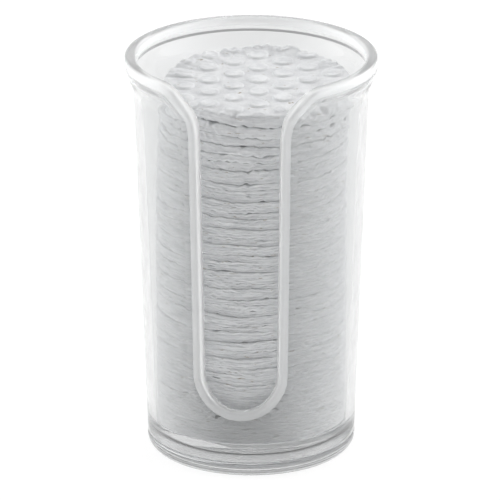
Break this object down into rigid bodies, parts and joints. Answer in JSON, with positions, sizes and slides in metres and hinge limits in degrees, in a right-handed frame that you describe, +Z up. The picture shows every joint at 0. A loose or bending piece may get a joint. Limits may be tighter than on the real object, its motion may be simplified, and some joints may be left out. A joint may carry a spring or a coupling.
{
  "type": "cotton pad holder",
  "caption": "Clear tapered tumbler with a flared, beaded lip and a finger slot down its front, on a bonded base plate, filled with a stack of loose round cotton pads that lift out at the mouth.",
  "frame": {"origin": "middle of the flat underside of the base plate, on the axis of the cup", "axes": "+Z up along the axis of the cup, -Y towards the front with the finger slot, +X to the right when seen from the front"},
  "size_m": [0.0754, 0.0703, 0.1232],
  "materials": {
    "clear_plastic": "clear, polished",
    "cotton": "soft, fibrous, white"
  },
  "bodies": {
    "holder": {"cup": "clear_plastic", "base_plate": "clear_plastic"},
    "pad_stack": {"pad_01": "cotton", "pad_02": "cotton", "pad_03": "cotton", "pad_04": "cotton", "pad_05": "cotton", "pad_06": "cotton", "pad_07": "cotton", "pad_08": "cotton", "pad_09": "cotton", "pad_10": "cotton", "pad_11": "cotton", "pad_12": "cotton", "pad_13": "cotton", "pad_14": "cotton", "pad_15": "cotton", "pad_16": "cotton", "pad_17": "cotton", "pad_18": "cotton", "pad_19": "cotton", "pad_20": "cotton", "pad_21": "cotton", "pad_22": "cotton", "pad_23": "cotton", "pad_24": "cotton", "pad_25": "cotton", "pad_26": "cotton", "pad_27": "cotton", "pad_28": "cotton", "pad_29": "cotton", "pad_30": "cotton", "pad_31": "cotton", "pad_32": "cotton", "pad_33": "cotton", "pad_34": "cotton", "pad_35": "cotton", "pad_36": "cotton", "pad_37": "cotton", "pad_38": "cotton", "pad_39": "cotton", "pad_40": "cotton", "pad_41": "cotton", "pad_42": "cotton", "pad_43": "cotton", "pad_44": "cotton", "pad_45": "cotton", "pad_46": "cotton", "pad_47": "cotton", "pad_48": "cotton", "pad_49": "cotton", "pad_50": "cotton"},
    "loose_pad_51": {"pad_51": "cotton"},
    "loose_pad_52": {"pad_52": "cotton"},
    "loose_pad_53": {"pad_53": "cotton"},
    "loose_pad_54": {"pad_54": "cotton"},
    "loose_pad_55": {"pad_55": "cotton"},
    "loose_pad_56": {"pad_56": "cotton"}
  },
  "joints": [
    {"name": "pad_stack_lift", "type": "slide", "parent": "holder", "child": "pad_stack", "axis": [0, 0, 1], "range_m": [0, 0.12]},
    {"name": "pad_51_lift", "type": "slide", "parent": "pad_stack", "child": "loose_pad_51", "axis": [0, 0, 1], "range_m": [0, 0.03]},
    {"name": "pad_52_lift", "type": "slide", "parent": "loose_pad_51", "child": "loose_pad_52", "axis": [0, 0, 1], "range_m": [0, 0.03]},
    {"name": "pad_53_lift", "type": "slide", "parent": "loose_pad_52", "child": "loose_pad_53", "axis": [0, 0, 1], "range_m": [0, 0.03]},
    {"name": "pad_54_lift", "type": "slide", "parent": "loose_pad_53", "child": "loose_pad_54", "axis": [0, 0, 1], "range_m": [0, 0.03]},
    {"name": "pad_55_lift", "type": "slide", "parent": "loose_pad_54", "child": "loose_pad_55", "axis": [0, 0, 1], "range_m": [0, 0.03]},
    {"name": "pad_56_lift", "type": "slide", "parent": "loose_pad_55", "child": "loose_pad_56", "axis": [0, 0, 1], "range_m": [0, 0.03]}
  ]
}
